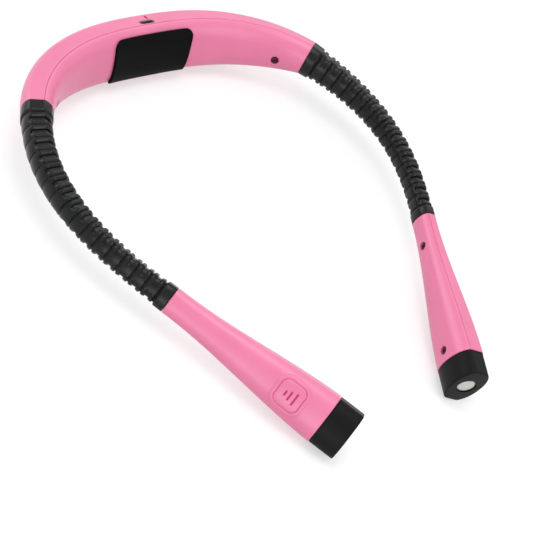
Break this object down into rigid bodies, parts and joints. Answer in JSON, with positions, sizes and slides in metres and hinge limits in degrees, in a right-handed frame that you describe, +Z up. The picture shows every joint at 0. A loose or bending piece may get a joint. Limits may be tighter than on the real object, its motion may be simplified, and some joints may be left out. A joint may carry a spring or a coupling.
{
  "type": "neck reading light",
  "caption": "U-shaped hands-free reading light worn round the neck, with a padded pink band, black ribbed bendable arms and a push-button lamp at each end.",
  "frame": {"origin": "middle of the footprint, on the table that the light lies on", "axes": "+Z up from the table, +Y towards the neck band, -Y the way the lamps point, +X to the wearer's right as the arms reach forward"},
  "size_m": [0.2204, 0.2606, 0.0334],
  "materials": {
    "pink_plastic": "satin moulded plastic, pale pink",
    "black_rubber": "satin black rubber-like sleeve",
    "black_plastic": "satin black moulded plastic",
    "black_pad": "matt black grip pad",
    "steel": "plain steel",
    "circuit_board": "green circuit board",
    "cell_foil": "foil pouch",
    "clear_lens": "clear lens plastic, pale beige",
    "reflector_chrome": "bright metallised plastic",
    "clamp_nylon": "grey moulded clamp",
    "lead_sheath": "red insulated wire pair"
  },
  "bodies": {
    "neck": {"neck_outer_shell": "pink_plastic", "neck_inner_shell": "pink_plastic", "neck_pad": "black_pad", "battery_cell": "cell_foil", "charge_board": "circuit_board", "usb_c_socket": "steel", "charge_light_pipe": "clear_lens", "left_band_screw": "steel", "right_band_screw": "steel", "left_band_clamp": "clamp_nylon", "right_band_clamp": "clamp_nylon"},
    "left_arm": {"left_arm_sleeve": "black_rubber", "left_gooseneck_core": "steel", "left_lamp_lead": "lead_sheath"},
    "left_head": {"left_head_clamp": "clamp_nylon", "left_head_outer_shell": "pink_plastic", "left_head_inner_shell": "pink_plastic", "left_switch_board": "circuit_board", "left_tact_switch": "black_plastic", "left_led_board": "circuit_board", "left_reflector": "reflector_chrome", "left_lens": "clear_lens", "left_bezel_cap": "black_plastic", "left_head_screw_rear": "steel", "left_head_screw_front": "steel"},
    "left_button": {"left_button": "pink_plastic"},
    "right_arm": {"right_arm_sleeve": "black_rubber", "right_gooseneck_core": "steel", "right_lamp_lead": "lead_sheath"},
    "right_head": {"right_head_clamp": "clamp_nylon", "right_head_outer_shell": "pink_plastic", "right_head_inner_shell": "pink_plastic", "right_switch_board": "circuit_board", "right_tact_switch": "black_plastic", "right_led_board": "circuit_board", "right_reflector": "reflector_chrome", "right_lens": "clear_lens", "right_bezel_cap": "black_plastic", "right_head_screw_rear": "steel", "right_head_screw_front": "steel"},
    "right_button": {"right_button": "pink_plastic"}
  },
  "joints": [
    {"name": "left_arm_spread", "type": "hinge", "parent": "neck", "child": "left_arm", "pos_m": [-0.09766, 0.06825, 0.02289], "axis": [0, 0, -1], "range_deg": [-7, 30], "deforming": ["left_arm_sleeve", "left_gooseneck_core", "left_lamp_lead"]},
    {"name": "left_head_tilt", "type": "hinge", "parent": "left_arm", "child": "left_head", "pos_m": [-0.08952, -0.01985, 0.01826], "axis": [-0.9109, -0.4127, 0], "range_deg": [-35, 35], "deforming": ["left_arm_sleeve", "left_gooseneck_core", "left_lamp_lead"]},
    {"name": "left_button_press", "type": "slide", "parent": "left_head", "child": "left_button", "axis": [0.716, 0.3777, -0.587], "range_m": [0, 0.0005], "stiffness_N_per_m": 2500, "springref_m": -0.0002},
    {"name": "right_arm_spread", "type": "hinge", "parent": "neck", "child": "right_arm", "pos_m": [0.09425, 0.06853, 0.02294], "axis": [0, 0, 1], "range_deg": [-7, 30], "deforming": ["right_arm_sleeve", "right_gooseneck_core", "right_lamp_lead"]},
    {"name": "right_head_tilt", "type": "hinge", "parent": "right_arm", "child": "right_head", "pos_m": [0.09253, -0.01937, 0.01859], "axis": [-0.9147, 0.4041, 0], "range_deg": [-35, 35], "deforming": ["right_arm_sleeve", "right_gooseneck_core", "right_lamp_lead"]},
    {"name": "right_button_press", "type": "slide", "parent": "right_head", "child": "right_button", "axis": [-0.8857, 0.4152, 0.2077], "range_m": [0, 0.0005], "stiffness_N_per_m": 2500, "springref_m": -0.0002}
  ]
}
